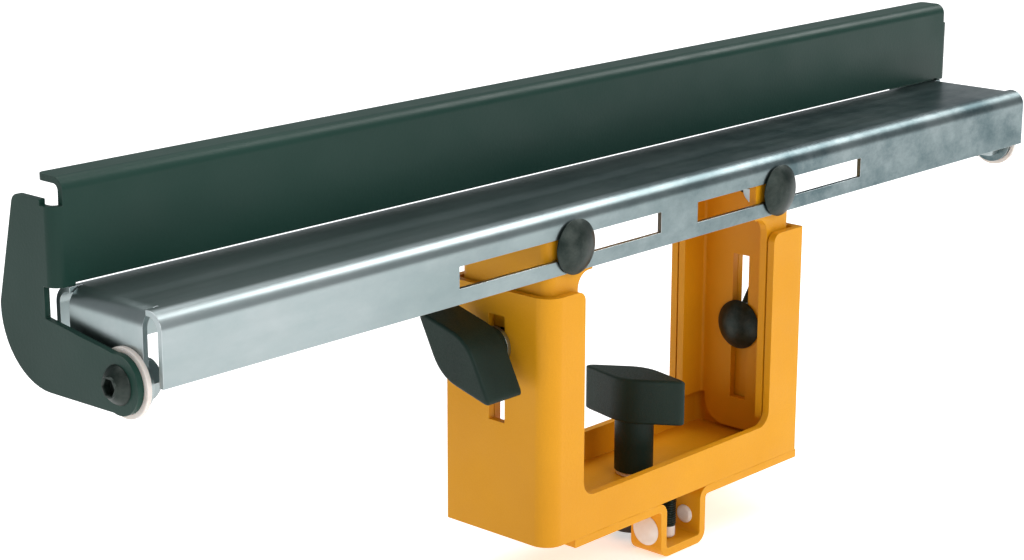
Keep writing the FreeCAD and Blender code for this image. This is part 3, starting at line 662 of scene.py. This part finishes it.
def softened_sheet(name, node, finish, body, edge=STEEL_EDGE):
    """A sheet with rounded edges and an edge_wear mark on each rounding's crest."""
    shape = merged_copy(node)
    sharp = [e for e in shape.edges if len(e.link_faces) == 2
             and e.calc_face_angle(0.0) > SHARP_OVER]
    made = bmesh.ops.bevel(shape, geom=sharp, offset=edge, offset_type="OFFSET", segments=2,
                           profile=0.5, affect="EDGES", clamp_overlap=True,
                           harden_normals=False)
    bevelled = set(made["faces"])
    shape.verts.index_update()
    crest = [v.index for v in shape.verts if v.link_faces
             and all(f in bevelled for f in v.link_faces)]
    mesh = bpy.data.meshes.new(name)
    shape.to_mesh(mesh)
    shape.free()
    wear = np.zeros(len(mesh.vertices), np.float32)
    wear[crest] = 1.0
    mesh.attributes.new("edge_wear", "FLOAT", "POINT").data.foreach_set("value", wear)
    return finish_piece(name, mesh, finish, body, node)


softened_sheet("yellow_box", "base_frame", YELLOW, "base")
softened_sheet("loop_strip", "clamp_hook", YELLOW, "base")
softened_sheet("sliding_bracket", "carriage_bracket", YELLOW, "carriage")
softened_sheet("zinc_tray", "tray", ZINC, "tray", TRAY_EDGE)
softened_sheet("flip_stop", "stop_plate", PAINT, "stop")

# %% [markdown]
# ## Bolts, washers and nuts
#
# A carriage bolt is a dome, a square neck that keeps it from turning in its slot, and a
# threaded shank. The dome is an arc of a ball carried round the axis. The neck is a
# square whose radius in each direction is half its width over the larger of |cos| and
# |sin|. Three closed skins that run into one another are simpler than one that has to
# change from round to square and back.

# %% Carriage bolts
THREAD = 1.0
HEAD_RADIUS, HEAD_HEIGHT = 8.3, 3.9
NECK_WIDE, NECK_LONG = 6.1, 3.2
SHANK_RADIUS = 2.95
HEAD_LIP = 0.7
SUNK = 0.1              # how far one closed skin runs into the next


def square_rod(wide, low, high, around=64):
    """r(a) = half width / max(|cos a|, |sin a|), cut back a little at the four corners."""
    angle = (np.arange(around) * TAU / around)[None, :]
    reach = np.maximum(np.abs(np.cos(angle)), np.abs(np.sin(angle)))
    r = np.minimum(0.5 * wide / reach, 0.66 * wide)
    z = np.linspace(low, high, 3)[:, None]
    return np.stack(np.broadcast_arrays(r * np.cos(angle), r * np.sin(angle), z), axis=-1)


def carriage_bolt(shank):
    """Dome above z = 0, square neck and thread below it."""
    rim = [(0.05, 0.0), (HEAD_RADIUS - 0.5, 0.0), (HEAD_RADIUS, 0.35)]
    crown = dome_profile(HEAD_RADIUS, HEAD_HEIGHT, lip=HEAD_LIP)
    return [turned(np.concatenate([rim, crown])), square_rod(NECK_WIDE, -NECK_LONG, SUNK),
            threaded(SHANK_RADIUS, THREAD, -shank, -NECK_LONG + SUNK)]


low, high = lowest_highest("tray_bolts")
bolt_z = 0.5 * (low[2] + high[2])
bolt_x = high[0] - HEAD_RADIUS * MM
skins = []
for x in (-bolt_x, bolt_x):
    foot = (x, low[1] + HEAD_HEIGHT * MM, bolt_z)
    skins += [stand(rows, foot, (0, -1, 0)) for rows in
              carriage_bolt((high[1] - low[1]) / MM - HEAD_HEIGHT)]
make_piece("tray_bolt_pair", skins, STEEL, "carriage", "tray_bolts")

lock_height = {}
for side, way in (("left", -1), ("right", 1)):
    low, high = lowest_highest("lock_bolt_" + side)
    lock_height[side] = 0.5 * (low[2] + high[2])
    crown_x = high[0] if way < 0 else low[0]
    foot = (crown_x + way * HEAD_HEIGHT * MM, 0.0, lock_height[side])
    skins = [stand(rows, foot, (-way, 0, 0)) for rows in
             carriage_bolt((high[0] - low[0]) / MM - HEAD_HEIGHT)]
    make_piece("height_bolt_" + side, skins, STEEL, side + "_lock", "lock_bolt_" + side)

# %% [markdown]
# A nut's side is a hexagon, and its corners are cut by a cone at each end. So the radius
# is the smaller of two: the hexagon's in that direction, and the cone's at that height.
# The arcs where the two meet are the curved facets that every real nut has.

# %% Nuts, washers and spacers


def hexagon_radius(flats, angle):
    """Half the flats over the cosine of the angle from the nearest flat's middle."""
    from_flat = np.mod(angle, TAU / 6) - TAU / 12
    return 0.5 * flats / np.cos(from_flat)


def hex_nut(flats, height, bore, around=AROUND):
    """r(a, z) = smaller of hexagon(a) and cone(z) outside, and a chamfered bore inside."""
    angle = (np.arange(around) * TAU / around)[None, :]
    z = np.array([0.0, 0.25, 0.5, 0.8, 1.2, height - 1.2, height - 0.8, height - 0.5,
                  height - 0.25, height])[:, None]
    cone = 0.485 * flats + 1.0 * np.minimum(z, height - z)
    outside = np.minimum(hexagon_radius(flats, angle), cone)
    inside_z = np.array([height, height - 0.4, 0.4, 0.0])[:, None]
    inside = np.array([bore + 0.4, bore, bore, bore + 0.4])[:, None] * np.ones_like(angle)
    r = np.concatenate([outside, inside])
    z = np.concatenate([z, inside_z]) * np.ones_like(angle)
    return np.stack([r * np.cos(angle), r * np.sin(angle), z], axis=-1)


def pair_of(rows, axis, places):
    """The same skin stood at each place."""
    return [stand(rows, place, axis) for place in places]


NUT_FLATS, NUT_HEIGHT, NUT_BORE = 10.0, 5.0, 2.9
WASHER_BORE, WASHER_RADIUS, WASHER_THICK, WASHER_SOFT = 3.2, 6.0, 1.6, 0.25
SPACER_BORE, SPACER_RADIUS, SPACER_THICK, SPACER_SOFT = 3.1, 9.3, 1.5, 0.3

nut = hex_nut(NUT_FLATS, NUT_HEIGHT, NUT_BORE)
low, high = lowest_highest("tray_nuts")
places = [(x, low[1], bolt_z) for x in (-bolt_x, bolt_x)]
make_piece("tray_nut_pair", pair_of(nut, (0, 1, 0), places),
           BRIGHT_ZINC, "carriage", "tray_nuts", looped=True)
low, high = lowest_highest("tray_washers")
places = [(x, low[1], bolt_z) for x in (-bolt_x, bolt_x)]
washer = turned_ring(WASHER_BORE, WASHER_RADIUS, WASHER_THICK, WASHER_SOFT)
make_piece("tray_washer_pair", pair_of(washer, (0, 1, 0), places),
           BRIGHT_ZINC, "carriage", "tray_washers", looped=True)
WASHER_PLAY = 0.05      # so that its faces and the knob's never share a plane
for side in ("left", "right"):
    low, high = lowest_highest("lock_washer_" + side)
    middle_x = 0.5 * (low[0] + high[0])
    thick = (high[0] - low[0]) / MM - WASHER_PLAY
    place = (middle_x - 0.5 * thick * MM, 0.0, lock_height[side])
    washer = turned_ring(WASHER_BORE, WASHER_RADIUS, thick, WASHER_SOFT)
    make_piece("height_washer_" + side, [stand(washer, place, (1, 0, 0))],
               BRIGHT_ZINC, side + "_washer", "lock_washer_" + side, looped=True)

low, high = lowest_highest("pivot_spacers")
pivot_y, pivot_z = 0.5 * (low[1] + high[1]), 0.5 * (low[2] + high[2])
places = [(low[0], pivot_y, pivot_z), (high[0] - SPACER_THICK * MM, pivot_y, pivot_z)]
spacer = turned_ring(SPACER_BORE, SPACER_RADIUS, SPACER_THICK, SPACER_SOFT)
make_piece("stop_spacer_pair", pair_of(spacer, (1, 0, 0), places),
           NYLON, "tray", "pivot_spacers", looped=True)
low, high = lowest_highest("pivot_nuts")
places = [(low[0], pivot_y, pivot_z), (high[0] - NUT_HEIGHT * MM, pivot_y, pivot_z)]
make_piece("stop_nut_pair", pair_of(nut, (1, 0, 0), places),
           BRIGHT_ZINC, "tray", "pivot_nuts", looped=True)

# %% [markdown]
# ## Socket screws
#
# The stop turns on two button-head screws, and a small cap screw with a nylon tip guides
# the loop. Each head is one skin whose rows run up the outside and then down into the
# socket. The socket's rows are hexagons and the outer rows are circles, and nothing else
# is needed, because rows with equally many points always join.

# %% Screws with a hexagon socket


def socket_head(profile, flats, crown, deep, around=AROUND):
    """Circles for each (radius, height) of the profile, then hexagons down the socket."""
    angle = np.arange(around) * TAU / around
    outside = turned(profile, around)
    mouth, wall = hexagon_radius(flats + 0.5, angle), hexagon_radius(flats, angle)
    well = [(mouth, crown), (wall, crown - 0.25), (wall, crown - deep)]
    inside = np.stack([np.stack([r * np.cos(angle), r * np.sin(angle), np.full(around, z)],
                                axis=-1) for r, z in well])
    return np.concatenate([outside, inside])


BUTTON_RADIUS, BUTTON_HIGH = 5.25, 3.3      # as far as the flat round the socket
BUTTON_SOCKET, BUTTON_DEEP = 4.0, 2.2
SCREW_LONG = 11.3
button = dome_profile(BUTTON_RADIUS, BUTTON_HIGH + 0.3, lip=0.5, steps=16)
button = button[(button[:, 1] < BUTTON_HIGH) & (button[:, 0] > 2.7)]
button = np.concatenate([[(0.05, 0.0), (BUTTON_RADIUS - 0.35, 0.0), (BUTTON_RADIUS, 0.25)],
                         button, [(2.75, BUTTON_HIGH)]])
low, high = lowest_highest("pivot_screws")
skins = []
for way, crown_x in ((-1, low[0]), (1, high[0])):
    foot = (crown_x - way * BUTTON_HIGH * MM, pivot_y, pivot_z)
    for rows in (socket_head(button, BUTTON_SOCKET, BUTTON_HIGH, BUTTON_DEEP),
                 threaded(SHANK_RADIUS, THREAD, -SCREW_LONG, 0.2)):
        skins.append(stand(rows, foot, (way, 0, 0)))
make_piece("stop_screw_pair", skins, STEEL, "tray", "pivot_screws")

CAP_RADIUS, CAP_HIGH, CAP_SOCKET, CAP_DEEP = 3.6, 3.0, 2.8, 1.6
GUIDE_RADIUS, GUIDE_PITCH = 2.48, 0.8
low, high = lowest_highest("guide_screw")
guide_at = 0.5 * (low + high)
foot = (guide_at[0], guide_at[1], high[2] - CAP_HIGH * MM)
cap = soften([(0.05, 0.0), (CAP_RADIUS, 0.0), (CAP_RADIUS, CAP_HIGH), (1.9, CAP_HIGH)], 0.35)
guide_long = (high[2] - low[2]) / MM - CAP_HIGH
make_piece("guide_cap_screw", [stand(rows, foot, (0, 0, 1)) for rows in
                               (socket_head(cap, CAP_SOCKET, CAP_HIGH, CAP_DEEP),
                                threaded(GUIDE_RADIUS, GUIDE_PITCH, -guide_long, SUNK))],
           STEEL, "base", "guide_screw")

# %% [markdown]
# ## Nylon pieces
#
# Glide buttons are snapped into the loop so that painted steel never rubs on the beam.
# Each one has a low dome outside, a stem through the strip and a wider tail that holds
# it. The guide screw ends in a nylon plug, and a nylon ring lies under the clamp knob.

# %% Buttons, plug and ring
DOME_RADIUS, DOME_HIGH = 5.0, 1.5
points = vertices_of("glide_buttons")
skins = []
for way in (-1, 1):
    own = points[(points[:, 0] - points[:, 0].mean()) * way > 0]
    dome_x = own[:, 0].min() if way < 0 else own[:, 0].max()
    long = (own[:, 0].max() - own[:, 0].min()) / MM
    centre = 0.5 * (own.min(0) + own.max(0))
    outline = soften([(0.05, 0.0), (2.2, 0.0), (3.0, 0.6), (3.0, long - 4.6), (2.5, long - 4.6),
                      (2.5, long - 1.8), (DOME_RADIUS, long - 1.8),
                      (DOME_RADIUS, long - DOME_HIGH)], 0.25)
    head = dome_profile(DOME_RADIUS, DOME_HIGH, start=long - DOME_HIGH)
    rows = turned(np.concatenate([outline, head]))
    skins.append(stand(rows, (dome_x - way * long * MM, centre[1], centre[2]), (way, 0, 0)))
make_piece("glide_button_pair", skins, NYLON, "base", "glide_buttons")

low, high = lowest_highest("guide_tip")
plug = soften([(0.05, 0.0), (1.5, 0.0), (2.2, 0.7), (2.2, 4.0), (0.05, 4.0)], 0.3)
place = (guide_at[0], guide_at[1], low[2])
make_piece("guide_plug", [stand(turned(plug, 48), place, (0, 0, 1))],
           NYLON, "base", "guide_tip")
low, high = lowest_highest("clamp_ring")
clamp_at = 0.5 * (low + high)
ring = turned_ring(4.1, 5.8, (high[2] - low[2]) / MM, 0.3)
make_piece("knob_ring", [stand(ring, (clamp_at[0], clamp_at[1], low[2]), (0, 0, 1))],
           NYLON, "clamp_screw", "clamp_ring", looped=True)

# %% [markdown]
# ## The clamp screw
#
# Turning the knob drives a threaded stud down through a welded bush, and a rubber-faced
# foot on its end presses on the beam. The foot is a turned cup: flat below with a
# softened rim, and drawn in above to the neck that holds the ball of the stud.

# %% Stud, bush and foot
CLAMP_RADIUS, CLAMP_PITCH = 3.98, 1.25
low, high = lowest_highest("clamp_stud")
make_piece("clamp_rod", [stand(threaded(CLAMP_RADIUS, CLAMP_PITCH, 0.0,
                                        (high[2] - low[2]) / MM),
                               (clamp_at[0], clamp_at[1], low[2]), (0, 0, 1))],
           BRIGHT_ZINC, "clamp_screw", "clamp_stud")
low, high = lowest_highest("clamp_bush")
make_piece("threaded_bush", [stand(turned_ring(4.05, 8.0, (high[2] - low[2]) / MM, 0.5),
                                   (clamp_at[0], clamp_at[1], low[2]), (0, 0, 1))],
           BRIGHT_ZINC, "base", "clamp_bush", looped=True)
low, high = lowest_highest("pressure_foot")
cup = soften([(0.05, 0.25), (5.2, 0.25), (5.6, 0.0), (8.0, 0.0), (8.0, 3.0), (6.0, 5.0),
              (4.2, 5.0), (4.2, 2.3), (0.05, 2.3)], 0.5)
place = (clamp_at[0], clamp_at[1], low[2])
make_piece("rubber_foot", [stand(turned(cup), place, (0, 0, 1))],
           RUBBER, "clamp_foot", "pressure_foot")

# %% [markdown]
# ## T knobs
#
# The knobs are moulded in one shape: a long diamond with blunt points on a round stem.
# The diamond's outline is worked out once, with its corners rounded in plan. Each row of
# the skin is that outline shrunk towards the axis by what the rounding of the top and
# bottom edges asks for at that height. Moving every point inwards along its own normal
# would be truer, but at the blunt points it folds the outline over itself. Which way a
# wing points is measured on the frame, as the direction of the point that lies farthest
# from the axis.

# %% Knobs and their brass inserts
WING_LONG, WING_WIDE, WING_HIGH = 35.6, 14.4, 14.8
STEM_RADIUS = 6.3
EDGE = 0.8              # rounding of the wing's top and bottom edges


def diamond(steps=8):
    """The closed outline of the diamond, seen from above, with all four corners rounded."""
    tips = [(WING_LONG / 2 + 1.2, 0), (0, WING_WIDE / 2 + 0.9),
            (-WING_LONG / 2 - 1.2, 0), (0, -WING_WIDE / 2 - 0.9)]
    outline = soften(tips, (3.2, 6.5, 3.2, 6.5), steps, closed=True)
    return outline * np.array([WING_LONG, WING_WIDE]) / (outline.max(0) - outline.min(0))


def wing(foot):
    """outline * (1 - inset(z) / side): a quarter round drawn in towards the axis."""
    outline = diamond()
    side = 0.5 * WING_LONG * WING_WIDE / math.hypot(WING_LONG, WING_WIDE)
    quarter = np.linspace(0.0, 0.5 * math.pi, 6)
    inset = EDGE * np.concatenate([[1.3], 1 - np.sin(quarter), 1 - np.cos(quarter), [1.3]])
    height = np.concatenate([[0.0], EDGE * (1 - np.cos(quarter)),
                             WING_HIGH - EDGE * (1 - np.sin(quarter)), [WING_HIGH]]) + foot
    plan = outline[None] * (1.0 - inset / side)[:, None, None]
    tall = np.broadcast_to(height[:, None, None], plan.shape[:2] + (1,))
    return np.concatenate([plan, tall], axis=-1)


def knob(name, node, foot, axis, stem_long, bore, body):
    """A turned stem with a recess under it, and the wing on top."""
    stem = soften([(0.05, 1.6), (bore, 1.6), (bore, 0.0), (STEM_RADIUS, 0.0),
                   (STEM_RADIUS, stem_long + 1.5), (0.05, stem_long + 1.5)], 0.4)
    from_axis = vertices_of(node) - np.array(foot)
    unit = np.array(axis, float)
    from_axis -= np.outer(from_axis @ unit, unit)
    pointing = from_axis[np.argmax(np.linalg.norm(from_axis, axis=1))]
    skins = [stand(rows, foot, axis, pointing) for rows in (turned(stem), wing(stem_long))]
    make_piece(name, skins, PLASTIC, body, node)


CLAMP_STEM, CLAMP_BORE = 17.4, 4.1
HEIGHT_STEM, HEIGHT_BORE = 2.2, 4.5
low, high = lowest_highest("clamp_knob")
knob("clamp_t_knob", "clamp_knob", (clamp_at[0], clamp_at[1], low[2]), (0, 0, 1),
     CLAMP_STEM, CLAMP_BORE, "clamp_screw")
for side, way in (("left", -1), ("right", 1)):
    low, high = lowest_highest("lock_knob_" + side)
    near = low[0] if way > 0 else high[0]
    knob("height_knob_" + side, "lock_knob_" + side, (near, 0.0, lock_height[side]),
         (way, 0, 0), HEIGHT_STEM, HEIGHT_BORE, side + "_knob")
    low, high = lowest_highest("lock_insert_" + side)
    make_piece("knob_insert_" + side,
               [stand(turned_ring(3.05, HEIGHT_BORE, (high[0] - low[0]) / MM, 0.2),
                      (low[0], 0.0, lock_height[side]), (1, 0, 0))],
               BRASS, side + "_knob", "lock_insert_" + side, looped=True)
